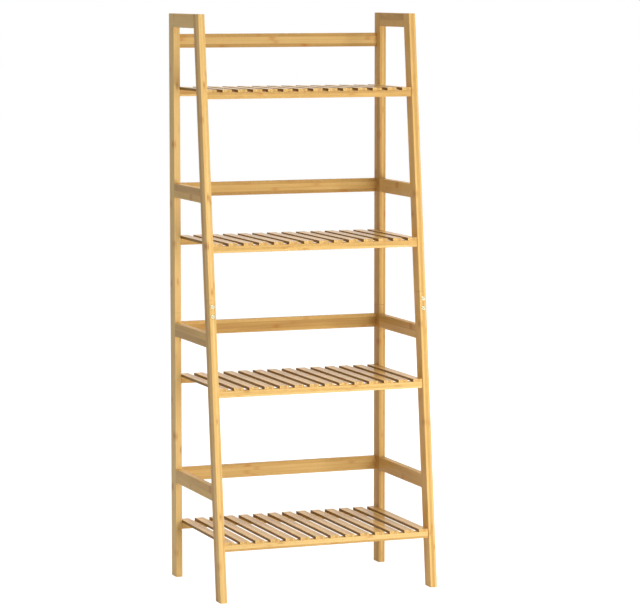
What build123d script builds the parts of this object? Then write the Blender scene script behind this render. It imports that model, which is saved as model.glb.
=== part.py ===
from build123d import *
import math
import os

# Bamboo shelving rack, free-standing, four slatted tiers.
# Millimetres. X runs across the rack, Y from front to back, Z up.
# The origin is on the floor, in the middle of the space that the whole rack takes up.

# Overall sizes, over the legs
height = 1235.0
width = 495.0
floor_depth = 335.0
top_depth = 200.0

# Legs: laminated bamboo bars in two lengths, joined at half height by a bolted half lap
leg_thickness = 15.0
leg_depth = 32.0
leg_rounding = 1.5
lap_above_rail = 21.5
lap_length = 50.0
lap_end_gap = 0.3

# Rails between the legs of one side, and across the back
side_rail_height = 30.0
top_rail_height = 30.0
rail_rounding = 1.5
back_rail_height = 30.0
back_rail_thickness = 12.0
back_rail_chamfer = 1.0
back_rail_inset = 2.0

# Tiers, counted from the floor up: two below the leg laps and two above them
bottom_shelf_height = 106.5
top_shelf_drop = 178.5
middle_spacing = 304.0
rail_above_shelf = 104.0

# Shelves: two rails with slats across them
shelf_rail_depth = 18.0
shelf_rail_height = 14.0
shelf_rail_chamfer = 0.8
shelf_inset = 2.0
slat_count = 14
slat_width = 21.5
slat_thickness = 6.0
slat_chamfer = 0.8

# Stub tenons, glued into mortises
side_tenon_thickness = 7.0
side_tenon_height = 20.0
side_tenon_length = 14.0
back_tenon_thickness = 6.0
back_tenon_height = 20.0
shelf_tenon_depth = 12.0
shelf_tenon_height = 8.0
cross_tenon_length = 10.0
mortise_clearance = 0.15
mortise_end_gap = 0.5

# Leg bolts: domed heads with a hexagon socket, in threaded inserts
bolt_spacing = 21.0
bolt_diameter = 6.0
bolt_head_diameter = 10.5
bolt_head_height = 3.3
bolt_crown_diameter = 5.6
bolt_dome_radius = 8.0
bolt_hole_clearance = 0.25
socket_width = 4.0
socket_depth = 1.9
insert_length = 12.0
insert_diameter = 9.0
insert_clearance = 0.1
thread_clearance = 0.05

# Places that follow from the sizes above
back_y = (floor_depth - bolt_head_height) / 2
toe_y = back_y - floor_depth
lean_run = floor_depth - top_depth
lean = math.atan2(lean_run, height)
leg_level_depth = leg_depth / math.cos(lean)
inner_half = width / 2 - leg_thickness
leg_middle_x = width / 2 - leg_thickness / 2
tongue_depth = leg_depth / 2
rear_leg_front_y = back_y - leg_depth
back_rail_middle_y = back_y - back_rail_inset - back_rail_thickness / 2
shelf_back_y = rear_leg_front_y + shelf_rail_depth
shelf_height = shelf_rail_height + slat_thickness
tier_spacing = (height - top_shelf_drop - bottom_shelf_height - middle_spacing) / 2
second_shelf_height = bottom_shelf_height + tier_spacing
third_shelf_height = second_shelf_height + middle_spacing
shelf_levels = [
    bottom_shelf_height,
    second_shelf_height,
    third_shelf_height,
    third_shelf_height + tier_spacing,
]
lap_height = second_shelf_height + rail_above_shelf + side_rail_height + lap_above_rail + lap_length / 2
tiers = range(1, len(shelf_levels) + 1)
side_rail_tiers = tiers[:-1]
halves = {"lower": tiers[:2], "upper": tiers[2:]}
sides = {"left": -1, "right": 1}
inward = {"left": (-1, 0, 0), "right": (1, 0, 0)}
toward_back = (0, 1, 0)
toward_front = (0, -1, 0)


def leg_front_y(z):
    """Front face of the leaning front legs at height z."""
    return toe_y + lean_run * z / height


def shelf_level(tier):
    """Underside of a shelf."""
    return shelf_levels[tier - 1]


def shelf_front_y(tier):
    """Front face of a shelf, just behind the front legs at the height of the slats."""
    return leg_front_y(shelf_level(tier) + shelf_height) + shelf_inset


def rail_level(tier):
    """Middle height of the side and back rails that stand over a shelf."""
    return shelf_level(tier) + rail_above_shelf + side_rail_height / 2


def back_rail_level(tier):
    """Middle height of a back rail, whose underside is level with the side rails."""
    return shelf_level(tier) + rail_above_shelf + back_rail_height / 2


def top_rail_level():
    """Middle height of the top rails, flush with the ends of the legs."""
    return height - top_rail_height / 2


# Seats: each joint is one plane on the face where two pieces meet
def rear_seat(side, z):
    """On the front face of a rear leg, where a side or top rail meets it."""
    x = sides[side] * leg_middle_x
    return Plane(origin=(x, rear_leg_front_y, z), x_dir=(1, 0, 0), z_dir=toward_front)


def front_seat(side, z):
    """On the leaning rear face of a front leg, where a side or top rail meets it."""
    x = sides[side] * leg_middle_x
    y = leg_front_y(z) + leg_level_depth
    outward = (0, math.cos(lean), -math.sin(lean))
    return Plane(origin=(x, y, z), x_dir=(1, 0, 0), z_dir=outward)


def cross_seat(side, y, z):
    """On the inner face of a leg, where a back rail or a shelf rail meets it."""
    x = sides[side] * inner_half
    outward = (-sides[side], 0, 0)
    return Plane(origin=(x, y, z), x_dir=(0, 1, 0), z_dir=outward)


def back_rail_seat(side, tier):
    return cross_seat(side, back_rail_middle_y, back_rail_level(tier))


def shelf_front_seat(side, tier):
    y = shelf_front_y(tier) + shelf_rail_depth / 2
    return cross_seat(side, y, shelf_level(tier) + shelf_rail_height / 2)


def shelf_back_seat(side, tier):
    y = shelf_back_y - shelf_rail_depth / 2
    return cross_seat(side, y, shelf_level(tier) + shelf_rail_height / 2)


def tenon_outline(seat, across, tall, spare):
    """Cross-section of a tenon on its seat, taller there where the seat leans."""
    upright = abs(seat.y_dir.Z)
    with BuildSketch(seat) as outline:
        Rectangle(across + 2 * spare, (tall + 2 * spare) / upright)
    return outline.sketch


def add_tenon(seat, into, across, tall, long):
    """Tenon from a rail's shoulder, along the rail, into the leg."""
    extrude(tenon_outline(seat, across, tall, 0), amount=long, dir=into)


def cut_mortise(seat, into, across, tall, long):
    """Mortise for that tenon, with its clearance all round and at the end."""
    outline = tenon_outline(seat, across, tall, mortise_clearance)
    extrude(outline, amount=long + mortise_end_gap, dir=into, mode=Mode.SUBTRACT)


def add_side_tenon(seat, into):
    add_tenon(seat, into, side_tenon_thickness, side_tenon_height, side_tenon_length)


def cut_side_mortise(seat, into):
    cut_mortise(seat, into, side_tenon_thickness, side_tenon_height, side_tenon_length)


def add_back_tenon(seat, into):
    add_tenon(seat, into, back_tenon_thickness, back_tenon_height, cross_tenon_length)


def cut_back_mortise(seat, into):
    cut_mortise(seat, into, back_tenon_thickness, back_tenon_height, cross_tenon_length)


def add_shelf_tenon(seat, into):
    add_tenon(seat, into, shelf_tenon_depth, shelf_tenon_height, cross_tenon_length)


def cut_shelf_mortise(seat, into):
    cut_mortise(seat, into, shelf_tenon_depth, shelf_tenon_height, cross_tenon_length)


# Legs
def leg_axis(end, side):
    """Plane across a leg at the middle of its lap, with Z up the leg and Y towards the back."""
    x = sides[side] * leg_middle_x
    if end == "front":
        y = leg_front_y(lap_height) + leg_level_depth / 2
        return Plane(origin=(x, y, lap_height), x_dir=(1, 0, 0), z_dir=(0, math.sin(lean), math.cos(lean)))
    return Plane(origin=(x, back_y - leg_depth / 2, lap_height), x_dir=(1, 0, 0), z_dir=(0, 0, 1))


def bolt_seats(end, side):
    """Where the two bolt heads of a leg bear on its outer face, with Z out of the leg."""
    axis = leg_axis(end, side)
    out = -1 if end == "front" else 1
    seats = []
    for step in (-1, 1):
        origin = axis.from_local_coords((0, out * leg_depth / 2, step * bolt_spacing / 2))
        seats.append(Plane(origin=origin, x_dir=(1, 0, 0), z_dir=axis.y_dir * out))
    return seats


def insert_seats(end, side):
    """Where the two inserts of a leg lie flush in its inner tongue, on the lap face."""
    return [seat.offset(-tongue_depth) for seat in bolt_seats(end, side)]


def cut_lap(axis, out, half):
    """Half lap: the lower piece keeps the tongue under the bolt heads, the upper one the inner tongue."""
    up = 1 if half == "lower" else -1
    lost = -out * up
    shoulder = axis.offset(-up * (lap_length / 2 + lap_end_gap))
    with BuildSketch(shoulder) as waste:
        Rectangle(2 * leg_thickness, leg_depth, align=(Align.CENTER, Align.MIN if lost > 0 else Align.MAX))
    extrude(waste.sketch, amount=2 * up * lap_length, mode=Mode.SUBTRACT)


def cut_bolt_holes(end, side, half):
    """Clear holes in the outer tongue, or blind holes for the inserts in the inner one."""
    if half == "lower":
        with Locations(*bolt_seats(end, side)):
            Hole(bolt_diameter / 2 + bolt_hole_clearance, depth=tongue_depth)
        return
    with Locations(*insert_seats(end, side)):
        Hole(insert_diameter / 2 + insert_clearance, depth=insert_length + mortise_end_gap)


def make_leg(end, side, half):
    """One leg piece: a bar with rounded long edges, cut level at its free end, with its lap and mortises."""
    axis = leg_axis(end, side)
    out = -1 if end == "front" else 1
    with BuildPart() as leg:
        with BuildSketch(axis):
            RectangleRounded(leg_thickness, leg_depth, leg_rounding)
        extrude(amount=height, both=True)
        if half == "lower":
            split(bisect_by=Plane.XY, keep=Keep.TOP)
            split(bisect_by=axis.offset(lap_length / 2), keep=Keep.BOTTOM)
        else:
            split(bisect_by=Plane.XY.offset(height), keep=Keep.BOTTOM)
            split(bisect_by=axis.offset(-lap_length / 2), keep=Keep.TOP)
        cut_lap(axis, out, half)
        cut_bolt_holes(end, side, half)
        for tier in halves[half]:
            if end == "front":
                cut_shelf_mortise(shelf_front_seat(side, tier), inward[side])
            else:
                cut_shelf_mortise(shelf_back_seat(side, tier), inward[side])
                cut_back_mortise(back_rail_seat(side, tier), inward[side])
            if tier in side_rail_tiers:
                level = rail_level(tier)
            else:
                level = top_rail_level()
            if end == "front":
                cut_side_mortise(front_seat(side, level), toward_front)
            else:
                cut_side_mortise(rear_seat(side, level), toward_back)
    return leg


# Rails of the side frames
def make_frame_rail(side, level, tall):
    """Side or top rail: as thick as the legs, square at the rear leg, cut to the lean of the front leg."""
    behind = rear_seat(side, level)
    ahead = front_seat(side, level)
    with BuildPart() as rail:
        with BuildSketch(behind):
            RectangleRounded(leg_thickness, tall, rail_rounding)
        extrude(amount=floor_depth)
        split(bisect_by=ahead, keep=Keep.TOP)
        add_side_tenon(behind, toward_back)
        add_side_tenon(ahead, toward_front)
    return rail


# Rails across the rack
def make_back_rail(tier):
    """Back rail between the inner faces of the rear legs."""
    left_seat = back_rail_seat("left", tier)
    with BuildPart() as rail:
        with BuildSketch(left_seat) as section:
            Rectangle(back_rail_thickness, back_rail_height)
            chamfer(section.vertices(), length=back_rail_chamfer)
        extrude(amount=2 * inner_half)
        for side in sides:
            add_back_tenon(back_rail_seat(side, tier), inward[side])
    return rail


def make_shelf_rail(seat_of, tier):
    """Front or rear rail of a shelf, between the inner faces of the legs."""
    with BuildPart() as rail:
        with BuildSketch(seat_of("left", tier)) as section:
            Rectangle(shelf_rail_depth, shelf_rail_height)
            chamfer(section.vertices(), length=shelf_rail_chamfer)
        extrude(amount=2 * inner_half)
        for side in sides:
            add_shelf_tenon(seat_of(side, tier), inward[side])
    return rail


def make_slats(tier):
    """Slats of a shelf, lying on its rails, eased on top, with their ends flush with the rails' faces."""
    slat_pitch = (2 * inner_half - slat_width) / (slat_count - 1)
    middle_z = shelf_level(tier) + shelf_rail_height + slat_thickness / 2
    back_end = Plane(origin=(0, shelf_back_y, middle_z), x_dir=(1, 0, 0), z_dir=toward_front)
    with BuildPart() as slats:
        with BuildSketch(back_end) as ends:
            with GridLocations(slat_pitch, 0, slat_count, 1):
                Rectangle(slat_width, slat_thickness)
            chamfer(ends.vertices().group_by(Axis.Y)[-1], length=slat_chamfer)
        extrude(amount=shelf_back_y - shelf_front_y(tier))
    return slats


# Fasteners of the legs
def make_bolt():
    """Domed bolt, its head bearing on the XY plane and its shank running down."""
    shank = bolt_diameter / 2
    head = bolt_head_diameter / 2
    crown = bolt_crown_diameter / 2
    tip = -(tongue_depth + insert_length)
    with BuildPart() as bolt:
        with BuildSketch(Plane.XZ):
            with BuildLine():
                dome = RadiusArc((head, 0), (crown, bolt_head_height), -bolt_dome_radius)
                Polyline(
                    dome @ 1,
                    (0, bolt_head_height),
                    (0, tip),
                    (shank, tip),
                    (shank, 0),
                    dome @ 0,
                )
            make_face()
        revolve(axis=Axis.Z)
        with BuildSketch(Plane.XY.offset(bolt_head_height)):
            RegularPolygon(socket_width / 2, 6, major_radius=False)
        extrude(amount=-socket_depth, mode=Mode.SUBTRACT)
    return bolt


def make_insert():
    """Threaded insert, a sleeve whose mouth is flush with the XY plane."""
    with BuildPart() as insert:
        with BuildSketch():
            Circle(insert_diameter / 2)
            Circle(bolt_diameter / 2 + thread_clearance, mode=Mode.SUBTRACT)
        extrude(amount=-insert_length)
    return insert


def place_copies(piece, seats):
    """Copies of one fastener, each on its own seat."""
    with BuildPart() as group:
        with Locations(*seats):
            add(piece.part)
    return group


# The whole rack, piece by piece
pieces = {}

for side in sides:
    for end in ("front", "rear"):
        for half in halves:
            pieces[f"{side}_{end}_leg_{half}"] = make_leg(end, side, half)
    pieces[f"{side}_top_rail"] = make_frame_rail(side, top_rail_level(), top_rail_height)
    for tier in side_rail_tiers:
        pieces[f"{side}_side_rail_{tier}"] = make_frame_rail(side, rail_level(tier), side_rail_height)

for tier in tiers:
    pieces[f"back_rail_{tier}"] = make_back_rail(tier)
    pieces[f"shelf_{tier}_front_rail"] = make_shelf_rail(shelf_front_seat, tier)
    pieces[f"shelf_{tier}_rear_rail"] = make_shelf_rail(shelf_back_seat, tier)
    pieces[f"shelf_{tier}_slats"] = make_slats(tier)

legs = [(end, side) for end in ("front", "rear") for side in sides]
all_bolt_seats = [seat for leg in legs for seat in bolt_seats(*leg)]
all_insert_seats = [seat for leg in legs for seat in insert_seats(*leg)]
pieces["leg_bolts"] = place_copies(make_bolt(), all_bolt_seats)
pieces["leg_inserts"] = place_copies(make_insert(), all_insert_seats)

os.makedirs("parts", exist_ok=True)
for name, piece in pieces.items():
    piece.part.label = name
    export_step(piece.part, f"parts/{name}.step")
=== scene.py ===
import math

import bmesh
import bpy
import numpy as np
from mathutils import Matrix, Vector


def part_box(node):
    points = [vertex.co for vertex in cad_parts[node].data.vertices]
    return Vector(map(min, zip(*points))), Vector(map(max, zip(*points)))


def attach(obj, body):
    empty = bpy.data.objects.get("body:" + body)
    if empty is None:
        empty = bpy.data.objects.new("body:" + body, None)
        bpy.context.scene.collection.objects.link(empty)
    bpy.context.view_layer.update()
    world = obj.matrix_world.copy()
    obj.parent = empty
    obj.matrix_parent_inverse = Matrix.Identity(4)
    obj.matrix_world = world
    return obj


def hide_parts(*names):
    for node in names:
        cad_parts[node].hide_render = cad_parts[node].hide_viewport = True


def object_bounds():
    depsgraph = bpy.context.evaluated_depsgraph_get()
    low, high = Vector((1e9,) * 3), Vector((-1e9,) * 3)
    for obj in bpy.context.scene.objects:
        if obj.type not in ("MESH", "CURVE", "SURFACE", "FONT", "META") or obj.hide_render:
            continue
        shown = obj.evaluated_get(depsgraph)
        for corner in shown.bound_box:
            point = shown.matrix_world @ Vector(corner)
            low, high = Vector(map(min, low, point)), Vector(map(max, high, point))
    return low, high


bl_info = {
    "name": "Bamboo Shelving Rack",
    "version": (1, 0, 0),
    "blender": (4, 5, 0),
    "location": "View3D > Sidebar > Rack",
    "description": "Dresses a four-tier bamboo rack: legs, rails, slatted shelves, bolts and a pale studio",
    "category": "Object",
}

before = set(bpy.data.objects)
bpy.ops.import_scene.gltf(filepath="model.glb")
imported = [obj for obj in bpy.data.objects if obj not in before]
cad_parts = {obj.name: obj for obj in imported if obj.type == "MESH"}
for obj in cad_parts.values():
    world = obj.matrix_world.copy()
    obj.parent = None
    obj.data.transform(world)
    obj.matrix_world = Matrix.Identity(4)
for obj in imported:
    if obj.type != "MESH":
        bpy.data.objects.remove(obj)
cad_low, cad_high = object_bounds()

# The rack, worked out from the frame, in metres
tiers = range(1, 5)
side_rail_tiers = tiers[:-1]
sides = {"left": -1, "right": 1}
across = Vector((1, 0, 0))
rearward = Vector((0, 1, 0))
upward = Vector((0, 0, 1))

rear_lower_low, rear_lower_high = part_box("left_rear_leg_lower")
rear_upper_low, rear_upper_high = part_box("left_rear_leg_upper")
leg_thickness = rear_lower_high.x - rear_lower_low.x
leg_depth = rear_lower_high.y - rear_lower_low.y
leg_middle = abs(rear_lower_low.x + rear_lower_high.x) / 2
inner_half = leg_middle - leg_thickness / 2
rack_height = rear_upper_high.z
lap_length = rear_lower_high.z - rear_upper_low.z
lap_middle = (rear_lower_high.z + rear_upper_low.z) / 2
rear_leg_middle_y = (rear_lower_low.y + rear_lower_high.y) / 2

bottom_rail_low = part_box("shelf_1_front_rail")[0]
top_rail_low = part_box("shelf_4_front_rail")[0]
lean = math.atan2(top_rail_low.y - bottom_rail_low.y, top_rail_low.z - bottom_rail_low.z)
level_depth = leg_depth / math.cos(lean)
toe_y = cad_low.y
front_axis = Vector((0, math.sin(lean), math.cos(lean)))

# Points nearer to a plane than this lie on it
touching = 0.00001

# Every leg, rail and slat has a number of its own, so that no two have the same grain
first_leg_number = 1
first_side_rail_number = 21
first_cross_rail_number = 41
slat_numbers_per_shelf = 100


def front_face_y(height):
    """Front face of the leaning legs at a height."""
    return toe_y + math.tan(lean) * height


def box_size(node):
    """Lengths of a node along X, Y and Z."""
    low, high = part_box(node)
    return high - low


def length(name, description, default, least):
    """A length that a user can change, in metres."""
    return bpy.props.FloatProperty(
        name=name, description=description, default=default, min=least, unit="LENGTH", subtype="DISTANCE")


def fraction(name, description, default, least=0.0):
    """A number from 0 to 1 that a user can change."""
    return bpy.props.FloatProperty(
        name=name, description=description, default=default, min=least, max=1.0, subtype="FACTOR")


def tint(name, description, default):
    """A colour that a user can change, written as it looks on screen."""
    return bpy.props.FloatVectorProperty(
        name=name, description=description, default=default, size=3, min=0.0, max=1.0, subtype="COLOR_GAMMA")


class RackShapes(bpy.types.PropertyGroup):
    """Small sizes that the boxes of the nodes don't give."""

    lap_gap: length("Lap Gap", "Gap at each end of the half laps in the legs", 0.0003, 0.0)
    arris: length("Arris Radius", "Rounding along the legs and side rails", 0.0015, 0.0002)
    cross_arris: length("Cross Rail Radius", "Rounding along the back rails and shelf rails", 0.0011, 0.0002)
    slat_arris: length("Slat Radius", "Rounding along the slats", 0.0009, 0.0002)
    ease: length("End Ease", "Sanded edge round every cut end", 0.00035, 0.00005)
    slat_count: bpy.props.IntProperty(
        name="Slats", description="Slats on each shelf", default=14, min=2)
    slat_width: length("Slat Width", "Width of one slat", 0.0215, 0.005)
    bolt_spacing: length("Bolt Spacing", "Distance between the two bolts of a leg", 0.021, 0.012)
    head_radius: length("Head Radius", "Radius of the domed bolt heads", 0.00525, 0.002)
    head_height: length("Head Height", "How far the bolt heads stand out of the leg", 0.0033, 0.001)
    shank_radius: length("Shank Radius", "Radius over the bolt thread", 0.003, 0.001)
    thread_pitch: length("Thread Pitch", "Distance from one thread crest to the next", 0.001, 0.0005)
    insert_radius: length("Insert Radius", "Outer radius of the threaded inserts", 0.0045, 0.002)
    insert_length: length("Insert Length", "Length of the threaded inserts", 0.012, 0.004)


class RackFinish(bpy.types.PropertyGroup):
    """Colours and gloss of the bamboo and the metal."""

    pale: tint("Pale Strip", "Lightest bamboo strips", (0.94, 0.79, 0.52))
    honey: tint("Honey Strip", "Bamboo strips of middle tone", (0.89, 0.72, 0.43))
    tan: tint("Tan Strip", "Darkest bamboo strips", (0.79, 0.62, 0.37))
    knuckle: tint("Knuckle", "Growth rings across the strips", (0.70, 0.42, 0.18))
    # Painted shade: the colour that the slat flanks are darkened to, for the shade in the gaps between the
    # slats
    skin: tint("Skin", "Painted shade along the flanks of the slats", (0.60, 0.45, 0.22))
    seam: tint("Glue Line", "Glue between two strips", (0.60, 0.43, 0.24))
    pore: tint("Pores", "Bundles of fibre in the end grain", (0.52, 0.36, 0.19))
    # Painted shade: these factors darken the rear legs and the rails, which are the same bamboo as the front
    # legs, for the lesser light that falls on them
    rear_leg_painted_shade: fraction("Rear Leg Shade", "Rear legs, as a share of the front legs' colour", 0.90)
    side_rail_painted_shade: fraction("Side Rail Shade", "Side rails, as a share of the front legs' colour", 0.93)
    back_rail_shade: fraction("Back Rail Shade", "Back rails, as a share of the front legs' colour", 0.82)
    shelf_rail_painted_shade: fraction("Shelf Rail Shade", "Shelf rails, as a share of the front legs' colour", 0.95)
    satin: fraction("Satin Lacquer", "Weight of the clear lacquer on the legs and rails", 0.08)
    gloss: fraction("Gloss Lacquer", "Weight of the clear lacquer on the slats", 0.4)
    lacquer_roughness: fraction("Lacquer Roughness", "Roughness of the clear lacquer", 0.08)
    roughness: fraction("Roughness", "Roughness of the wood under its lacquer", 0.42, least=0.1)
    specular: fraction("Specular", "Specular level of the wood under its lacquer", 0.05)
    steel: tint("Steel", "Plated steel of the bolts", (0.92, 0.88, 0.74))
    brass: tint("Brass", "Brass of the inserts", (0.86, 0.74, 0.47))


class RackStudio(bpy.types.PropertyGroup):
    """Camera, lamps and backdrop."""

    lens: bpy.props.FloatProperty(
        name="Focal Length", description="Focal length on a sensor 36 mm wide",
        default=166.94, min=10.0, unit="CAMERA")
    camera_place: bpy.props.FloatVectorProperty(
        name="Camera Place", description="Where the camera stands",
        default=(-2.22626, -5.99244, 1.30155), size=3, unit="LENGTH", subtype="TRANSLATION")
    camera_yaw: bpy.props.FloatProperty(
        name="Camera Yaw", description="Turn of the camera to its right, from looking straight at the front",
        default=math.radians(20.718), unit="ROTATION", subtype="ANGLE")
    camera_pitch: bpy.props.FloatProperty(
        name="Camera Pitch", description="Dip of the camera below level",
        default=math.radians(6.242), unit="ROTATION", subtype="ANGLE")
    ambient: fraction("Ambient", "Even light from all round, as a share of full light", 0.27)
    key: fraction("Front Lamp", "Share of full light that the front lamp gives", 0.75)
    top: fraction("Top Lamp", "Share of full light that the top lamp gives", 0.30)
    back: fraction("Back Lamp", "Share of full light that the back lamp gives", 0.54)
    floor_glow: fraction(
        "Floor Glow", "Share of the floor that shows white instead of light and shadow", 0.6, least=0.01)
    floor_radius: length("Floor Radius", "Radius of the floor", 40.0, 2.0)


# Nodes
def add_node(tree, kind, inputs=None, **settings):
    """One node with its settings, and its inputs given as plain values or as sockets to link."""
    made = tree.nodes.new(kind)
    for setting, value in settings.items():
        setattr(made, setting, value)
    for socket, value in (inputs or {}).items():
        if isinstance(value, bpy.types.NodeSocket):
            tree.links.new(value, made.inputs[socket])
        else:
            made.inputs[socket].default_value = value
    return made


def maths(tree, operation, *values, clamp=False):
    """Result of a Math node."""
    inputs = dict(enumerate(values))
    return add_node(tree, "ShaderNodeMath", inputs, operation=operation, use_clamp=clamp).outputs[0]


def weighted_sum(tree, base, *terms):
    """The base plus each value times its weight."""
    total = base
    for value, weight in terms:
        total = maths(tree, "MULTIPLY_ADD", value, weight, total)
    return total


def blend_between(tree, factor, low, high):
    """A number between two others."""
    inputs = {0: factor, 2: low, 3: high}
    return add_node(tree, "ShaderNodeMix", inputs, data_type="FLOAT").outputs[0]


def blend_colours(tree, factor, first, second):
    """A colour between two others."""
    inputs = {0: factor, 6: first, 7: second}
    return add_node(tree, "ShaderNodeMix", inputs, data_type="RGBA").outputs[2]


def ramp_up(tree, value, start, end):
    """0 below start, 1 above end, with a soft step between."""
    inputs = {0: value, 1: start, 2: end, 3: 0.0, 4: 1.0}
    return add_node(tree, "ShaderNodeMapRange", inputs, interpolation_type="SMOOTHSTEP").outputs[0]


def bell_curve(tree, value, steepness):
    """1 where the value is 0, falling off on both sides of it."""
    square = maths(tree, "MULTIPLY", value, value)
    return maths(tree, "EXPONENT", maths(tree, "MULTIPLY", square, -steepness))


def drawn_noise(tree, place, shift, across, along, detail, roughness):
    """Noise drawn out along Z, with so many waves a metre across it and along it, moved by the shift."""
    inputs = {0: place, 1: (across, across, along), 2: shift}
    scaled = add_node(tree, "ShaderNodeVectorMath", inputs, operation="MULTIPLY_ADD").outputs[0]
    inputs = {"Vector": scaled, "Scale": 1.0, "Detail": detail, "Roughness": roughness}
    return add_node(tree, "ShaderNodeTexNoise", inputs).outputs["Fac"]


def chances(tree, *numbers):
    """Chance colour, number and colour parts that belong to three given numbers."""
    identity = add_node(tree, "ShaderNodeCombineXYZ", dict(enumerate(numbers))).outputs[0]
    drawn = add_node(tree, "ShaderNodeTexWhiteNoise", {"Vector": identity}, noise_dimensions="3D").outputs
    parts = add_node(tree, "ShaderNodeSeparateColor", {0: drawn["Color"]}).outputs
    return drawn["Color"], drawn["Value"], parts


def shader_group(name, takes, gives):
    """Empty shader group with named inputs, each with its default, and named outputs that are numbers."""
    group = bpy.data.node_groups.new(name, "ShaderNodeTree")
    for title, default in takes.items():
        kind = "NodeSocketVector" if default is None else "NodeSocketFloat"
        socket = group.interface.new_socket(title, in_out="INPUT", socket_type=kind)
        if default is not None:
            socket.default_value = default
    for title in gives:
        group.interface.new_socket(title, in_out="OUTPUT", socket_type="NodeSocketFloat")
    return group, group.nodes.new("NodeGroupInput").outputs, group.nodes.new("NodeGroupOutput")


def close_group(group, output, **sockets):
    """Links the results of a group to its outputs."""
    for title, socket in sockets.items():
        group.links.new(socket, output.inputs[title.replace("_", " ").title()])
    return group


def to_linear(colour, shade=1.0):
    """Screen colour as the linear value that a node takes, darkened by a factor of painted shade."""
    parts = [c / 12.92 if c <= 0.04045 else ((c + 0.055) / 1.055) ** 2.4 for c in colour]
    return (*[part * shade for part in parts], 1.0)


# Patterns of the bamboo, placed by the grain of the bar: X across the strips, Y through them, Z along them
def strip_group():
    """Bamboo strips glued side by side: tone, fibres, knuckles and glue lines."""
    takes = {"Grain": None, "Piece": 0.0, "Width": 0.015, "Strips Across": 3.0, "Depth": 0.032,
             "Strips Through": 2.0, "Internode": 0.23, "Knuckle Length": 0.008}
    gives = ("Tone", "Fibre", "Knuckle", "Seam", "Across Strip")
    group, given, output = shader_group("Bamboo Strips", takes, gives)
    across_bar, through_bar, along_bar = add_node(group, "ShaderNodeSeparateXYZ", {0: given["Grain"]}).outputs

    # The strips reach a little past the bar, so that no face lies on the border of one
    overhang = 1.03
    cells = []
    fractions = []
    for part, size, count in ((across_bar, "Width", "Strips Across"),
                              (through_bar, "Depth", "Strips Through")):
        from_middle = maths(group, "DIVIDE", part, maths(group, "MULTIPLY", given[size], overhang))
        place = maths(group, "MULTIPLY", maths(group, "ADD", from_middle, 0.5), given[count])
        cells.append(maths(group, "FLOOR", place))
        fractions.append(maths(group, "FRACT", place))
    strip_colour, strip_chance, strip_parts = chances(group, *cells, given["Piece"])

    farthest_shift = (90, 70, 50)
    shift = add_node(group, "ShaderNodeVectorMath", {0: strip_colour, 1: farthest_shift},
                     operation="MULTIPLY").outputs[0]
    fibre = drawn_noise(group, given["Grain"], shift, across=1500, along=14, detail=3.0, roughness=0.65)
    streak = drawn_noise(group, given["Grain"], shift, across=420, along=5, detail=2.0, roughness=0.5)
    drift = drawn_noise(group, given["Grain"], shift, across=30, along=6, detail=1.0, roughness=0.5)

    # One knuckle in each internode, somewhere near its middle, and stronger in some than in others
    most_internodes_off = 3.0
    along_cane = maths(group, "MULTIPLY_ADD", strip_parts[0], most_internodes_off,
                       maths(group, "DIVIDE", along_bar, given["Internode"]))
    internode = maths(group, "FLOOR", along_cane)
    knuckle_parts = chances(group, internode, strip_chance, given["Piece"])[2]
    centre = blend_between(group, knuckle_parts[0], low=0.3, high=0.7)
    off = maths(group, "MULTIPLY", maths(group, "SUBTRACT", maths(group, "FRACT", along_cane), centre),
                given["Internode"])
    waver = maths(group, "MULTIPLY", maths(group, "SUBTRACT", fibre, 0.5), given["Knuckle Length"])
    reach = maths(group, "DIVIDE", maths(group, "ADD", off, waver), given["Knuckle Length"])
    faint_ones = 1.1
    strength = maths(group, "POWER", knuckle_parts[1], faint_ones)
    strand_contrast = 1.5
    strand_offset = -0.1
    strands = maths(group, "MULTIPLY_ADD", streak, strand_contrast, strand_offset, clamp=True)
    frayed = maths(group, "MULTIPLY", bell_curve(group, reach, steepness=1.0), strands)
    ring_weight = 0.7
    ring = maths(group, "MULTIPLY", bell_curve(group, reach, steepness=30.0), ring_weight)
    knuckle = maths(group, "MULTIPLY", maths(group, "MAXIMUM", frayed, ring), strength, clamp=True)

    swings = ((strip_chance, 1.05), (streak, 0.75), (fibre, 0.55), (drift, 0.6))
    centred = [(maths(group, "SUBTRACT", value, 0.5), weight) for value, weight in swings]
    tone = weighted_sum(group, 0.5, *centred)

    to_edge = maths(group, "PINGPONG", fractions[0], 0.5)
    strip_width = maths(group, "DIVIDE", given["Width"], given["Strips Across"])
    edge_distance = maths(group, "MULTIPLY", to_edge, strip_width)
    seam = maths(group, "SUBTRACT", 1.0, ramp_up(group, edge_distance, start=0.00005, end=0.00022))
    return close_group(group, output, tone=tone, fibre=fibre, knuckle=knuckle, seam=seam,
                       across_strip=fractions[0])


def end_grain_group():
    """Cut ends: dots of fibre bundles, larger towards one side of each strip."""
    group, given, output = shader_group("Bamboo End Grain", {"Grain": None, "Across Strip": 0.5}, ("Pores",))
    bundles_per_metre = (1500, 1150, 0)
    flat = add_node(group, "ShaderNodeVectorMath", {0: given["Grain"], 1: bundles_per_metre},
                    operation="MULTIPLY").outputs[0]
    dots = add_node(group, "ShaderNodeTexVoronoi", {"Vector": flat, "Scale": 1.0, "Randomness": 0.8})
    size = blend_between(group, given["Across Strip"], low=0.22, high=0.44)
    inside = maths(group, "SUBTRACT", size, dots.outputs["Distance"])
    return close_group(group, output, pores=ramp_up(group, inside, start=-0.06, end=0.08))


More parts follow.
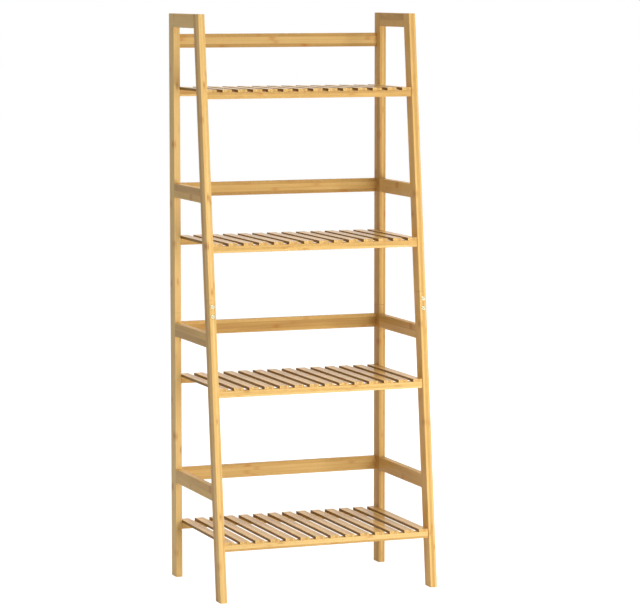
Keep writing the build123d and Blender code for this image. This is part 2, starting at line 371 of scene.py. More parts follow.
def edge_wear_and_highlight_group():
    """Edges that handling has rubbed, also lighter as a painted highlight along the arris: 1 on the arris,
    less where the noise leaves it whole.
    """
    takes = {"Grain": None, "Width": 0.015, "Depth": 0.032, "Reach": 0.0016}
    group, given, output = shader_group("Edge Wear", takes, ("Wear",))
    parts = add_node(group, "ShaderNodeSeparateXYZ", {0: given["Grain"]}).outputs
    nearness = []
    for part, size in ((parts[0], "Width"), (parts[1], "Depth")):
        inset = maths(group, "MULTIPLY_ADD", given[size], -0.5, given["Reach"])
        past = maths(group, "ADD", maths(group, "ABSOLUTE", part), inset)
        nearness.append(maths(group, "DIVIDE", past, given["Reach"]))
    corner = maths(group, "MINIMUM", *nearness, clamp=True)
    patches = drawn_noise(group, given["Grain"], (3.1, 1.7, 0.4), across=60, along=35, detail=3.0,
                          roughness=0.6)
    worn = maths(group, "MULTIPLY", corner, ramp_up(group, patches, start=0.38, end=0.62))
    return close_group(group, output, wear=worn)


def flank_group():
    """Flanks of a bar: 1 on them and 0 on its broad faces."""
    group, given, output = shader_group("Bar Flanks", {"Grain": None, "Width": 0.0215}, ("Flank",))
    across_bar = add_node(group, "ShaderNodeSeparateXYZ", {0: given["Grain"]}).outputs[0]
    past = maths(group, "MULTIPLY_ADD", given["Width"], -0.5, maths(group, "ABSOLUTE", across_bar))
    return close_group(group, output, flank=ramp_up(group, past, start=-0.0007, end=-0.0001))


def lacquer_group():
    """Clear lacquer as it dried: a faint ripple and a roughness that changes from place to place."""
    group, given, output = shader_group("Lacquer Film", {"Grain": None}, ("Ripple", "Dulling"))
    ripple = drawn_noise(group, given["Grain"], (0, 0, 0), across=210, along=90, detail=1.0, roughness=0.5)
    dulling = drawn_noise(group, given["Grain"], (5, 2, 8), across=45, along=12, detail=3.0, roughness=0.6)
    return close_group(group, output, ripple=ripple, dulling=dulling)


def scratch_group():
    """Fine marks and handling scratches on metal."""
    group, given, output = shader_group("Metal Scratches", {"Place": None}, ("Marks",))
    fine = drawn_noise(group, given["Place"], (0, 0, 0), across=2600, along=500, detail=2.0, roughness=0.7)
    broad = drawn_noise(group, given["Place"], (4, 4, 4), across=400, along=400, detail=2.0, roughness=0.5)
    broad_share = 0.35
    return close_group(group, output, marks=blend_between(group, broad_share, fine, broad))


# Materials
def use_group(tree, name, inputs):
    """Outputs of a shader group placed in a material."""
    return add_node(tree, "ShaderNodeGroup", inputs, node_tree=bpy.data.node_groups[name]).outputs


def blank_material(name):
    """New material, its node tree and its Principled shader."""
    material = bpy.data.materials.new(name)
    material.use_nodes = True
    return material, material.node_tree, material.node_tree.nodes["Principled BSDF"]


def tone_ramp(tree, tone, finish, shade):
    """Colour of the strips, from tan through honey to pale, darkened by a factor of painted shade."""
    tones = add_node(tree, "ShaderNodeValToRGB", {0: tone})
    stops = tones.color_ramp.elements
    stops[0].position = 0.08
    stops[0].color = to_linear(finish.tan, shade)
    stops[1].position = 0.9
    stops[1].color = to_linear(finish.pale, shade)
    stops.new(0.5).color = to_linear(finish.honey, shade)
    return tones.outputs[0]


def bamboo(name, section, strips, lacquer, internode=0.23, shade=1.0, with_painted_flank_shade=False):
    """Lacquered laminated bamboo for bars of one section, which is strips[0] by strips[1] strips, darkened by
    a factor of painted shade and, when asked, with painted shade on its flanks.
    """
    finish = bpy.context.scene.rack_finish
    _, tree, shader = blank_material(name)
    grain = add_node(tree, "ShaderNodeAttribute", attribute_name="grain").outputs["Vector"]
    piece = add_node(tree, "ShaderNodeAttribute", attribute_name="piece").outputs["Fac"]
    ends = add_node(tree, "ShaderNodeAttribute", attribute_name="end_grain").outputs["Fac"]
    bar = {"Grain": grain, "Width": section[0], "Depth": section[1]}
    strip = use_group(tree, "Bamboo Strips", {
        **bar, "Piece": piece, "Strips Across": strips[0], "Strips Through": strips[1],
        "Internode": internode})
    pores = use_group(tree, "Bamboo End Grain", {
        "Grain": grain, "Across Strip": strip["Across Strip"]})["Pores"]
    # Edge mask, for wear and for a painted highlight along the arrises
    wear = use_group(tree, "Edge Wear", bar)["Wear"]
    film = use_group(tree, "Lacquer Film", {"Grain": grain})

    colour = tone_ramp(tree, strip["Tone"], finish, shade)
    for mask, weight, over in ((strip["Knuckle"], 0.9, finish.knuckle),
                               (strip["Seam"], 0.45, finish.seam),
                               (maths(tree, "MULTIPLY", pores, ends), 0.8, finish.pore),
                               # Lighter arrises, partly wear and partly a painted highlight
                               (wear, 0.3, finish.pale)):
        colour = blend_colours(tree, maths(tree, "MULTIPLY", mask, weight), colour, to_linear(over))
    shader.inputs["Coat Weight"].default_value = lacquer
    # Painted shade on the flanks of the slats, for the shade that falls in the gaps between them; the lacquer
    # coat fades out there too
    if with_painted_flank_shade:
        flank = use_group(tree, "Bar Flanks", {"Grain": grain, "Width": section[0]})["Flank"]
        colour = blend_colours(tree, flank, colour, to_linear(finish.skin))
        tree.links.new(maths(tree, "MULTIPLY_ADD", flank, -lacquer, lacquer), shader.inputs["Coat Weight"])
    tree.links.new(colour, shader.inputs["Base Color"])

    least_rough = finish.roughness - 0.1
    rough = weighted_sum(tree, least_rough, (film["Dulling"], 0.2), (ends, 0.15), (wear, 0.1))
    tree.links.new(rough, shader.inputs["Roughness"])
    height = weighted_sum(tree, 0.0, (strip["Fibre"], 0.35), (strip["Knuckle"], 0.6), (strip["Seam"], -0.5),
                          (film["Ripple"], 0.5))
    bump = add_node(tree, "ShaderNodeBump", {"Strength": 0.35, "Distance": 0.0001, "Height": height})
    tree.links.new(bump.outputs[0], shader.inputs["Normal"])
    shader.inputs["Specular IOR Level"].default_value = finish.specular
    shader.inputs["Coat Roughness"].default_value = finish.lacquer_roughness


def metal(name, colour, roughness):
    """Plated or turned metal with fine marks, a little duller where they are dense."""
    _, tree, shader = blank_material(name)
    place = add_node(tree, "ShaderNodeTexCoord").outputs["Object"]
    marks = use_group(tree, "Metal Scratches", {"Place": place})["Marks"]
    bright = to_linear(colour)
    tarnish = (0.75, 0.73, 0.69, 1.0)
    dull = [part * kept for part, kept in zip(bright, tarnish)]
    worn = blend_colours(tree, ramp_up(tree, marks, start=0.5, end=0.75), bright, dull)
    tree.links.new(worn, shader.inputs["Base Color"])
    rough = weighted_sum(tree, roughness - 0.1, (marks, 0.25))
    tree.links.new(rough, shader.inputs["Roughness"])
    bump = add_node(tree, "ShaderNodeBump", {"Strength": 0.2, "Distance": 0.00005, "Height": marks})
    tree.links.new(bump.outputs[0], shader.inputs["Normal"])
    shader.inputs["Metallic"].default_value = 1.0


# Bars
def write_grain(mesh, origin, wide, deep, number):
    """Stores where each point lies in its bar, which bar it is, and which faces are cut ends."""
    axes = np.array([wide, deep, wide.cross(deep)])
    places = np.empty(len(mesh.vertices) * 3)
    mesh.vertices.foreach_get("co", places)
    local = (places.reshape(-1, 3) - np.array(origin)) @ axes.T
    normals = np.empty(len(mesh.polygons) * 3)
    mesh.polygons.foreach_get("normal", normals)
    along_bar = np.abs(normals.reshape(-1, 3) @ axes[2])
    least_along = 0.7
    is_cut_end = (along_bar > least_along).astype(float)
    numbers = np.full(len(local), float(number))
    mesh.attributes.new("grain", "FLOAT_VECTOR", "POINT").data.foreach_set("vector", local.ravel())
    mesh.attributes.new("piece", "FLOAT", "POINT").data.foreach_set("value", numbers)
    mesh.attributes.new("end_grain", "FLOAT", "FACE").data.foreach_set("value", is_cut_end)


def round_edges(work, edges, offset, segments):
    """Rounds some edges of a mesh in work."""
    bmesh.ops.bevel(work, geom=edges, offset=offset, segments=segments, profile=0.5, affect="EDGES",
                    clamp_overlap=True)


def finished_mesh(work, name, crease):
    """Smooth mesh from a mesh in work, sharp where it turns by more than the crease."""
    mesh = bpy.data.meshes.new(name)
    work.to_mesh(mesh)
    work.free()
    mesh.shade_smooth()
    mesh.set_sharp_from_angle(angle=math.radians(crease))
    return mesh


def bar_mesh(name, outline, low, high, is_arris, arris, ease):
    """Bar with a side view of (Y, Z) points from X low to high, its arrises rounded and its ends eased."""
    work = bmesh.new()
    near = [work.verts.new((low, y, z)) for y, z in outline]
    far = [work.verts.new((high, y, z)) for y, z in outline]
    work.faces.new(near)
    work.faces.new(far)
    for k in range(len(outline)):
        work.faces.new((near[k - 1], near[k], far[k], far[k - 1]))
    bmesh.ops.recalc_face_normals(work, faces=work.faces)
    arrises = [edge for edge in work.edges if is_arris(*[vertex.co for vertex in edge.verts])]
    round_edges(work, arrises, arris, segments=5)
    still_sharp = math.radians(40)
    sharp = [edge for edge in work.edges if edge.calc_face_angle(0) > still_sharp]
    round_edges(work, sharp, ease, segments=2)
    return finished_mesh(work, name, crease=50)


def rectangle(low, high):
    """Side view of a bar that fills a box, as (Y, Z) points."""
    return [(low.y, low.z), (low.y, high.z), (high.y, high.z), (high.y, low.z)]


def runs_across(first, second):
    """Whether an edge runs along X."""
    return abs(first.x - second.x) > leg_thickness


def runs_back(first, second):
    """Whether an edge runs from front to back."""
    return abs(first.y - second.y) > leg_thickness


def bake_modifiers(piece):
    """Turns the piece's modifiers into plain mesh."""
    graph = bpy.context.evaluated_depsgraph_get()
    mesh = bpy.data.meshes.new_from_object(piece.evaluated_get(graph), depsgraph=graph)
    piece.modifiers.clear()
    piece.data = mesh


def new_object(name, data):
    """New object in the scene."""
    made = bpy.data.objects.new(name, data)
    bpy.context.scene.collection.objects.link(made)
    return made


def show_piece(piece, node, material):
    """Makes a finished mesh part of the rack, in place of its CAD node."""
    even = piece.modifiers.new("Even shading", "WEIGHTED_NORMAL")
    even.keep_sharp = True
    bake_modifiers(piece)
    piece.data.materials.clear()
    piece.data.materials.append(bpy.data.materials[material])
    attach(piece, "root")
    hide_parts(node)


def add_bar(node, material, mesh, origin, wide, deep, number):
    """One bar of the rack, with its grain."""
    write_grain(mesh, origin, wide, deep, number)
    show_piece(new_object(f"{node}_dressed", mesh), node, material)


class RACK_OT_stage(bpy.types.Operator):
    """Floor, lamps, pale world and the camera"""

    bl_idname = "rack.stage"
    bl_label = "Set the Stage"

    def execute(self, context):
        studio = context.scene.rack_studio
        self.set_world(context.scene, studio)
        self.lay_floor(studio)
        self.hang_lamp("front_lamp", studio.key, azimuth=17, elevation=0, distance=2.2, size=(1.0, 1.2))
        self.hang_lamp("top_lamp", studio.top, azimuth=-40, elevation=70, distance=4.0, size=(2.0, 2.0),
                       mirrored=True)
        self.hang_lamp("back_lamp", studio.back, azimuth=150, elevation=36, distance=4.5, size=(2.0, 2.0))
        self.place_camera(context.scene, studio)
        context.scene.view_settings.view_transform = "Standard"
        return {"FINISHED"}

    def set_world(self, scene, studio):
        """Even light for the object, white for whatever looks or reflects past it."""
        scene.world = bpy.data.worlds.new("studio")
        scene.world.use_nodes = True
        tree = scene.world.node_tree
        background = tree.nodes["Background"]
        background.inputs["Color"].default_value = (1, 1, 1, 1)
        tree.links.new(blend_between(tree, seen_directly(tree), studio.ambient, 1.0),
                       background.inputs["Strength"])

    def lay_floor(self, studio):
        """Pale floor, white where it lies open. The share that doesn't glow takes light and shadow."""
        work = bmesh.new()
        bmesh.ops.create_circle(work, cap_ends=True, radius=studio.floor_radius, segments=96)
        mesh = bpy.data.meshes.new("floor")
        work.to_mesh(mesh)
        work.free()
        material, tree, shader = blank_material("floor_white")
        grey = 0.9
        shader.inputs["Base Color"].default_value = (grey, grey, grey, 1)
        shader.inputs["Roughness"].default_value = 0.9
        shader.inputs["Specular IOR Level"].default_value = 0.0
        lit = grey * studio.ambient
        white = (1 - (1 - studio.floor_glow) * lit) / studio.floor_glow
        glow = add_node(tree, "ShaderNodeEmission", {"Color": (1, 1, 1, 1), "Strength": white})
        glowing = maths(tree, "MULTIPLY", seen_directly(tree), studio.floor_glow)
        mixed = add_node(tree, "ShaderNodeMixShader", {0: glowing, 1: shader.outputs[0], 2: glow.outputs[0]})
        tree.links.new(mixed.outputs[0], tree.nodes["Material Output"].inputs["Surface"])
        mesh.materials.append(material)
        new_object("floor", mesh)

    def hang_lamp(self, name, share, azimuth, elevation, distance, size, mirrored=False):
        """Soft lamp aimed at the middle of the rack, which it gives that share of full light."""
        lamp = bpy.data.lights.new(name, "AREA")
        lamp.shape = "RECTANGLE"
        lamp.size, lamp.size_y = size
        lamp.energy = share * (math.pi * distance) ** 2
        turn = math.radians(azimuth)
        rise = math.radians(elevation)
        way = Vector((math.sin(turn) * math.cos(rise), -math.cos(turn) * math.cos(rise), math.sin(rise)))
        hung = new_object(name, lamp)
        hung.location = Vector((0, 0, rack_height / 2)) + way * distance
        hung.rotation_euler = way.to_track_quat("Z", "Y").to_euler()
        hung.visible_glossy = mirrored

    def place_camera(self, scene, studio):
        """Camera at the photograph's viewing angle."""
        camera = bpy.data.cameras.new("camera")
        camera.lens = studio.lens
        camera.sensor_width = 36.0
        camera.clip_end = 200.0
        scene.camera = new_object("camera", camera)
        scene.camera.location = studio.camera_place
        scene.camera.rotation_euler = (math.pi / 2 - studio.camera_pitch, 0.0, -studio.camera_yaw)


def seen_directly(tree):
    """1 for rays from the camera, from gloss and from glass, and 0 for light that falls on things."""
    rays = add_node(tree, "ShaderNodeLightPath").outputs
    reflected = maths(tree, "MAXIMUM", rays["Is Glossy Ray"], rays["Is Transmission Ray"])
    return maths(tree, "MAXIMUM", rays["Is Camera Ray"], reflected)


class RACK_OT_finishes(bpy.types.Operator):
    """Materials of the bamboo bars and of the metal"""

    bl_idname = "rack.finishes"
    bl_label = "Mix the Finishes"

    def execute(self, context):
        finish = context.scene.rack_finish
        for make_group in (strip_group, end_grain_group, edge_wear_and_highlight_group, flank_group, lacquer_group,
                           scratch_group):
            make_group()
        leg = (leg_thickness, leg_depth)
        side_rail = (leg_thickness, box_size("left_side_rail_1").z)
        back_rail = box_size("back_rail_1")
        shelf_rail = box_size("shelf_1_front_rail")
        slat = (context.scene.rack_shapes.slat_width, box_size("shelf_1_slats").z)
        bamboo("lacquered_front_leg", leg, (3, 2), finish.satin)
        # Painted shade: the rear legs and the rails take the front legs' bamboo, darkened for the lesser
        # light that falls on them
        bamboo("lacquered_rear_leg", leg, (3, 2), finish.satin, shade=finish.rear_leg_painted_shade)
        bamboo("lacquered_side_rail", side_rail, (3, 2), finish.satin, shade=finish.side_rail_painted_shade)
        bamboo("lacquered_back_rail", (back_rail.z, back_rail.y), (4, 2), finish.satin,
               shade=finish.back_rail_shade)
        bamboo("lacquered_shelf_rail", (shelf_rail.z, shelf_rail.y), (3, 1), finish.satin,
               shade=finish.shelf_rail_painted_shade)
        # The slats carry painted shade on their flanks
        bamboo("lacquered_slat", slat, (4, 1), finish.gloss, internode=0.19, with_painted_flank_shade=True)
        metal("plated_bolt", finish.steel, roughness=0.18)
        metal("turned_insert", finish.brass, roughness=0.35)
        return {"FINISHED"}


class RACK_OT_legs(bpy.types.Operator):
    """Four legs, each in two lengths that meet in a half lap"""

    bl_idname = "rack.legs"
    bl_label = "Make the Legs"

    def execute(self, context):
        legs = [(side, end) for side in sides for end in ("front", "rear")]
        for number, (side, end) in enumerate(legs, first_leg_number):
            for half in ("lower", "upper"):
                self.make(context.scene.rack_shapes, side, end, half, number)
        return {"FINISHED"}

    def make(self, shapes, side, end, half, number):
        """One half of a leg."""
        node = f"{side}_{end}_leg_{half}"
        middle_x = sides[side] * leg_middle
        origin, up = lap_axis(end, middle_x)
        back = across.cross(up) * -1
        out = -1 if end == "front" else 1

        def place(behind, above):
            point = origin + back * behind + up * above
            return point.y, point.z

        def level_cut(behind, height):
            return place(behind, (height - origin.z - back.z * behind) / up.z)

        outer = out * leg_depth / 2
        reach = lap_length / 2
        shoulder = reach + shapes.lap_gap
        if half == "lower":
            outline = [level_cut(outer, 0), place(outer, reach), place(0, reach), place(0, -shoulder),
                       place(-outer, -shoulder), level_cut(-outer, 0)]
        else:
            outline = [level_cut(-outer, rack_height), place(-outer, -reach), place(0, -reach),
                       place(0, shoulder), place(outer, shoulder), level_cut(outer, rack_height)]

        def is_arris(first, second):
            depths = [abs((point - origin).dot(back)) for point in (first, second)]
            on_face = all(abs(depth - leg_depth / 2) < touching for depth in depths)
            return on_face and abs(second.z - first.z) > reach

        mesh = bar_mesh(node, outline, middle_x - leg_thickness / 2, middle_x + leg_thickness / 2, is_arris,
                        shapes.arris, shapes.ease)
        add_bar(node, f"lacquered_{end}_leg", mesh, origin, across, back, number)


def lap_axis(end, middle_x):
    """Middle of a leg's lap, and the direction up the leg."""
    if end == "front":
        return Vector((middle_x, front_face_y(lap_middle) + level_depth / 2, lap_middle)), front_axis
    return Vector((middle_x, rear_leg_middle_y, lap_middle)), upward


class RACK_OT_side_rails(bpy.types.Operator):
    """Rails from front to back in the two side frames, cut to the lean of the front legs"""

    bl_idname = "rack.side_rails"
    bl_label = "Make the Side Rails"

    def execute(self, context):
        names = ["top_rail"] + [f"side_rail_{tier}" for tier in side_rail_tiers]
        rails = [(side, name) for side in sides for name in names]
        for number, (side, name) in enumerate(rails, first_side_rail_number):
            self.make(context.scene.rack_shapes, f"{side}_{name}", sides[side] * leg_middle, number)
        return {"FINISHED"}

    def make(self, shapes, node, middle_x, number):
        """One rail of a side frame, between its two legs."""
        low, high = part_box(node)
        back = rear_leg_middle_y - leg_depth / 2
        ahead = [front_face_y(z) + level_depth for z in (low.z, high.z)]
        outline = [(ahead[0], low.z), (ahead[1], high.z), (back, high.z), (back, low.z)]

        def is_arris(first, second):
            return runs_back(first, second) and abs(first.x - second.x) < touching

        mesh = bar_mesh(node, outline, middle_x - leg_thickness / 2, middle_x + leg_thickness / 2, is_arris,
                        shapes.arris, shapes.ease)
        middle = Vector((middle_x, 0, (low.z + high.z) / 2))
        add_bar(node, "lacquered_side_rail", mesh, middle, across, upward, number)


class RACK_OT_cross_rails(bpy.types.Operator):
    """Back rails, and the front and rear rails of the shelves"""

    bl_idname = "rack.cross_rails"
    bl_label = "Make the Cross Rails"

    def execute(self, context):
        kinds = (("back_rail_{}", "lacquered_back_rail"), ("shelf_{}_front_rail", "lacquered_shelf_rail"),
                 ("shelf_{}_rear_rail", "lacquered_shelf_rail"))
        rails = [(name.format(tier), material) for tier in tiers for name, material in kinds]
        for number, (node, material) in enumerate(rails, first_cross_rail_number):
            self.make(context.scene.rack_shapes, node, material, number)
        return {"FINISHED"}

    def make(self, shapes, node, material, number):
        """One rail from side to side, between the legs or the side frames."""
        low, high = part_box(node)
        mesh = bar_mesh(node, rectangle(low, high), -inner_half, inner_half, runs_across, shapes.cross_arris,
                        shapes.ease)
        middle = Vector((0, (low.y + high.y) / 2, (low.z + high.z) / 2))
        add_bar(node, material, mesh, middle, upward, rearward, number)


def node_modifier(piece, tree, **inputs):
    """Puts a geometry tree on a piece and sets its named inputs."""
    modifier = piece.modifiers.new(tree.name, "NODES")
    modifier.node_group = tree
    named = {item.name: item.identifier for item in tree.interface.items_tree if item.in_out == "INPUT"}
    for title, value in inputs.items():
        modifier[named[title.replace("_", " ").title()]] = value


def geometry_tree(name, takes):
    """Empty geometry tree with a mesh in and out, and the named inputs that it takes."""
    tree = bpy.data.node_groups.new(name, "GeometryNodeTree")
    tree.interface.new_socket("Geometry", in_out="INPUT", socket_type="NodeSocketGeometry")
    for title, kind in takes.items():
        tree.interface.new_socket(title, in_out="INPUT", socket_type=f"NodeSocket{kind}")
    tree.interface.new_socket("Geometry", in_out="OUTPUT", socket_type="NodeSocketGeometry")
    return tree, tree.nodes.new("NodeGroupInput").outputs, tree.nodes.new("NodeGroupOutput")


def close_tree(tree, output, geometry, material):
    """Ends a geometry tree: real mesh, with its material."""
    real = add_node(tree, "GeometryNodeRealizeInstances", {0: geometry}).outputs[0]
    coated = add_node(tree, "GeometryNodeSetMaterial", {"Geometry": real, "Material": material}).outputs[0]
    tree.links.new(coated, output.inputs[0])


def slat_row_tree():
    """A row of slats across a shelf, each numbered so that no two have the same grain."""
    takes = {"Count": "Int", "Pitch": "Float", "First Number": "Int", "Material": "Material"}
    tree, given, output = geometry_tree("Slat Row", takes)
    step = add_node(tree, "ShaderNodeCombineXYZ", {0: given["Pitch"]}).outputs[0]
    span = maths(tree, "MULTIPLY", maths(tree, "SUBTRACT", given["Count"], 1.0), given["Pitch"])
    start = add_node(tree, "ShaderNodeCombineXYZ", {0: maths(tree, "MULTIPLY", span, -0.5)}).outputs[0]
    row = add_node(tree, "GeometryNodeMeshLine", {
        "Count": given["Count"], "Start Location": start, "Offset": step}).outputs[0]
    slats = add_node(tree, "GeometryNodeInstanceOnPoints", {"Points": row, "Instance": given["Geometry"]})
    number = maths(tree, "ADD", add_node(tree, "GeometryNodeInputIndex").outputs[0], given["First Number"])
    numbered = add_node(tree, "GeometryNodeStoreNamedAttribute",
                        {"Geometry": slats.outputs[0], "Name": "piece", "Value": number},
                        data_type="FLOAT", domain="INSTANCE")
    close_tree(tree, output, numbered.outputs[0], given["Material"])
    return tree


class RACK_OT_slats(bpy.types.Operator):
    """Slats of the four shelves"""

    bl_idname = "rack.slats"
    bl_label = "Lay the Slats"

    def execute(self, context):
        shapes = context.scene.rack_shapes
        tree = slat_row_tree()
        for tier in tiers:
            node = f"shelf_{tier}_slats"
            low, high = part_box(node)
            half = shapes.slat_width / 2
            pitch = (high.x - low.x - shapes.slat_width) / (shapes.slat_count - 1)
            if pitch < shapes.slat_width:
                raise ValueError(f"{shapes.slat_count} slats of this width don't fit on shelf {tier}")
            mesh = bar_mesh(node, rectangle(low, high), -half, half, runs_back, shapes.slat_arris,
                            shapes.ease)
            middle = Vector((0, (low.y + high.y) / 2, (low.z + high.z) / 2))
            write_grain(mesh, middle, across, upward * -1, 0)
            row = new_object(f"{node}_dressed", mesh)
            node_modifier(row, tree, count=shapes.slat_count, pitch=pitch,
                          first_number=slat_numbers_per_shelf * tier,
                          material=bpy.data.materials["lacquered_slat"])
            show_piece(row, node, "lacquered_slat")
        return {"FINISHED"}


# Fasteners
def turned_mesh(name, rows, facets=48, closed=False):
    """Turned part from rows of (radius at an angle, height), with a pole at each end unless it is closed."""
    work = bmesh.new()
    angles = [2 * math.pi * k / facets for k in range(facets)]
    rings = []
    for radius_at, height in rows:
        rings.append([work.verts.new((radius_at(a) * math.cos(a), radius_at(a) * math.sin(a), height))
                      for a in angles])
    pairs = list(zip(rings, rings[1:]))
    if closed:
        pairs.append((rings[-1], rings[0]))
    for lower, upper in pairs:
        for k in range(facets):
            work.faces.new((lower[k - 1], lower[k], upper[k], upper[k - 1]))
    if not closed:
        for ring, (_, height) in ((rings[0], rows[0]), (rings[-1], rows[-1])):
            pole = work.verts.new((0, 0, height))
            for k in range(facets):
                work.faces.new((ring[k - 1], ring[k], pole))
    bmesh.ops.recalc_face_normals(work, faces=work.faces)
    return finished_mesh(work, name, crease=35)


def circle(radius):
    """Radius of a circle, the same at every angle."""
    return lambda angle: radius


def hexagon(across_flats):
    """Radius of a hexagon at an angle."""
    sixth = math.pi / 3
    return lambda angle: across_flats / 2 / math.cos((angle % sixth) - sixth / 2)


def thread(crest, depth, pitch, height):
    """Radius of a screw thread at an angle, for a row at that height."""
    def radius_at(angle):
        turn = (height / pitch - angle / (2 * math.pi)) % 1
        return crest - depth * abs(2 * turn - 1)
    return radius_at


def thread_rows(crest, depth, pitch, start, end):
    """Rows of a screw thread between two heights."""
    rows_per_turn = 4
    steps = round(abs(end - start) / pitch * rows_per_turn)
    heights = [start + (end - start) * k / steps for k in range(steps + 1)]
    return [(thread(crest, depth, pitch, height), height) for height in heights]


def bolt_mesh(shapes):
    """Domed bolt, its head bearing on the XY plane: threaded shank, dome and hexagon socket."""
    head = shapes.head_radius
    tall = shapes.head_height
    shank = shapes.shank_radius
    thread_depth = 0.00055
    tip = -(leg_depth / 2 + shapes.insert_length)
    tip_radius = shank * 0.72
    lead_radius = shank * 0.82
    lead_length = 0.0003
    thread_start = tip + 0.0008
    thread_end = -leg_depth / 2 + 0.004
    thread_runout = 0.0006
    bearing_radius = head * 0.96
    chamfer = 0.00015
    rim = 0.0005
    crown = head * 0.53
    dome_steps = 8
    socket = 0.004
    socket_mouth = socket + 0.0005
    mouth_depth = 0.00025
    socket_floor = tall - 0.0019
    drill_radius = 0.0009
    drill_depth = 0.0006
    rows = [(circle(tip_radius), tip), (circle(lead_radius), tip + lead_length)]
    rows += thread_rows(shank, thread_depth, shapes.thread_pitch, thread_start, thread_end)
    rows += [(circle(shank), thread_end + thread_runout), (circle(shank), 0.0),
             (circle(bearing_radius), 0.0), (circle(head), chamfer), (circle(head), rim)]
    for k in range(1, dome_steps + 1):
        turn = math.pi / 2 * k / dome_steps
        rows.append((circle(crown + (head - crown) * math.cos(turn)), rim + (tall - rim) * math.sin(turn)))
    rows += [(hexagon(socket_mouth), tall), (hexagon(socket), tall - mouth_depth),
             (hexagon(socket), socket_floor), (circle(drill_radius), socket_floor - drill_depth)]
    return turned_mesh("bolt", rows)


def insert_mesh(shapes):
    """Threaded insert, its mouth on the XY plane: coarse thread outside, fine thread in the bore."""
    wall = shapes.insert_radius
    thread_clearance = 0.00055
    bore = shapes.shank_radius + thread_clearance
    foot = -shapes.insert_length
    foot_radius = wall - 0.0006
    coarse_depth = 0.0007
    coarse_pitch = 0.0022
    coarse_start = foot + 0.0006
    coarse_end = -0.0012
    collar = 0.0009
    chamfer = 0.0001
    mouth = bore + 0.0002
    fine_depth = 0.0005
    fine_inset = 0.0005
    rows = [(circle(foot_radius), foot)]
    rows += thread_rows(wall, coarse_depth, coarse_pitch, coarse_start, coarse_end)
    rows += [(circle(wall), -collar), (circle(wall), -chamfer), (circle(wall - chamfer), 0.0),
             (circle(mouth), 0.0)]
    rows += thread_rows(bore, fine_depth, shapes.thread_pitch, -fine_inset, foot + fine_inset)
    rows += [(circle(bore), foot)]
    return turned_mesh("insert", rows, closed=True)


def fastener_tree():
    """One fastener on every seat, facing out of it, each turned about its own axis by chance."""
    takes = {"Fastener": "Object", "Seed": "Int", "Material": "Material"}
    tree, given, output = geometry_tree("Fasteners On Seats", takes)
    facing = add_node(tree, "GeometryNodeInputNamedAttribute", {"Name": "facing"}, data_type="FLOAT_VECTOR")
    aim = add_node(tree, "FunctionNodeAlignRotationToVector", {"Vector": facing.outputs[0]}, axis="Z")
    chance = add_node(tree, "FunctionNodeRandomValue", {"Seed": given["Seed"]}, data_type="FLOAT")
    turn = maths(tree, "MULTIPLY", chance.outputs[1], 2 * math.pi)
    spin = add_node(tree, "FunctionNodeAxisAngleToRotation", {"Axis": (0, 0, 1), "Angle": turn})
    rotation = add_node(tree, "FunctionNodeRotateRotation", {0: aim.outputs[0], 1: spin.outputs[0]},
                        rotation_space="LOCAL")
    shape = add_node(tree, "GeometryNodeObjectInfo", {"Object": given["Fastener"]}).outputs["Geometry"]
    placed = add_node(tree, "GeometryNodeInstanceOnPoints",
                      {"Points": given["Geometry"], "Instance": shape, "Rotation": rotation.outputs[0]})
    close_tree(tree, output, placed.outputs[0], given["Material"])
    return tree


def fastener_seats(shapes, inset):
    """Places on the outer faces of the legs, or inset from them, and the direction that each one faces."""
    places = []
    facings = []
    for side in sides.values():
        for end, out in (("front", -1), ("rear", 1)):
            origin, up = lap_axis(end, side * leg_middle)
            facing = across.cross(up) * -out
            for step in (-1, 1):
                places.append(origin + facing * (leg_depth / 2 - inset) + up * step * shapes.bolt_spacing / 2)
                facings.append(facing)
    return places, facings


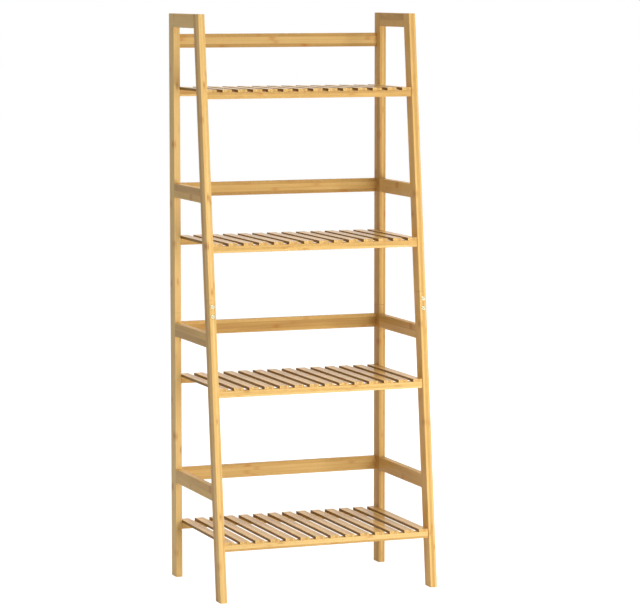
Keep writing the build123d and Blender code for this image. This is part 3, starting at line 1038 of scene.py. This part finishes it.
class RACK_OT_fasteners(bpy.types.Operator):
    """Bolts and threaded inserts of the leg laps"""

    bl_idname = "rack.fasteners"
    bl_label = "Fit the Bolts"

    def execute(self, context):
        shapes = context.scene.rack_shapes
        tree = fastener_tree()
        self.fit(tree, "leg_bolts", bolt_mesh(shapes), fastener_seats(shapes, inset=0.0), "bolt_steel",
                 "plated_bolt", seed=11)
        self.fit(tree, "leg_inserts", insert_mesh(shapes), fastener_seats(shapes, inset=leg_depth / 2),
                 "insert_brass", "turned_insert", seed=12)
        return {"FINISHED"}

    def fit(self, tree, node, mesh, seats, slot, material, seed):
        """One kind of fastener, on all its seats."""
        places, facings = seats
        shape = new_object(mesh.name, mesh)
        points = bpy.data.meshes.new(node)
        points.from_pydata(places, [], [])
        points.attributes.new("facing", "FLOAT_VECTOR", "POINT").data.foreach_set(
            "vector", np.array(facings, dtype=float).ravel())
        group = new_object(f"{node}_dressed", points)
        node_modifier(group, tree, fastener=shape, seed=seed, material=bpy.data.materials[material])
        show_piece(group, node, material)
        bpy.data.objects.remove(shape)


class RACK_PT_panel(bpy.types.Panel):
    """Steps of the rack, with the values that they use"""

    bl_idname = "RACK_PT_panel"
    bl_label = "Bamboo Rack"
    bl_space_type = "VIEW_3D"
    bl_region_type = "UI"
    bl_category = "Rack"

    def draw(self, context):
        for group in (context.scene.rack_shapes, context.scene.rack_finish, context.scene.rack_studio):
            box = self.layout.box()
            for title in group.bl_rna.properties.keys():
                if title not in ("rna_type", "name"):
                    box.prop(group, title)
        for step in steps:
            self.layout.operator(step.bl_idname)


groups = {"rack_shapes": RackShapes, "rack_finish": RackFinish, "rack_studio": RackStudio}
steps = (RACK_OT_stage, RACK_OT_finishes, RACK_OT_legs, RACK_OT_side_rails, RACK_OT_cross_rails,
         RACK_OT_slats, RACK_OT_fasteners)


def register():
    for kind in (*groups.values(), *steps, RACK_PT_panel):
        bpy.utils.register_class(kind)
    for title, kind in groups.items():
        setattr(bpy.types.Scene, title, bpy.props.PointerProperty(type=kind))


def unregister():
    for title in groups:
        delattr(bpy.types.Scene, title)
    for kind in (RACK_PT_panel, *reversed(steps), *groups.values()):
        bpy.utils.unregister_class(kind)


def main():
    register()
    bpy.ops.rack.stage()
    bpy.ops.rack.finishes()
    bpy.ops.rack.legs()
    bpy.ops.rack.side_rails()
    bpy.ops.rack.cross_rails()
    bpy.ops.rack.slats()
    bpy.ops.rack.fasteners()


if __name__ == "__main__":
    main()
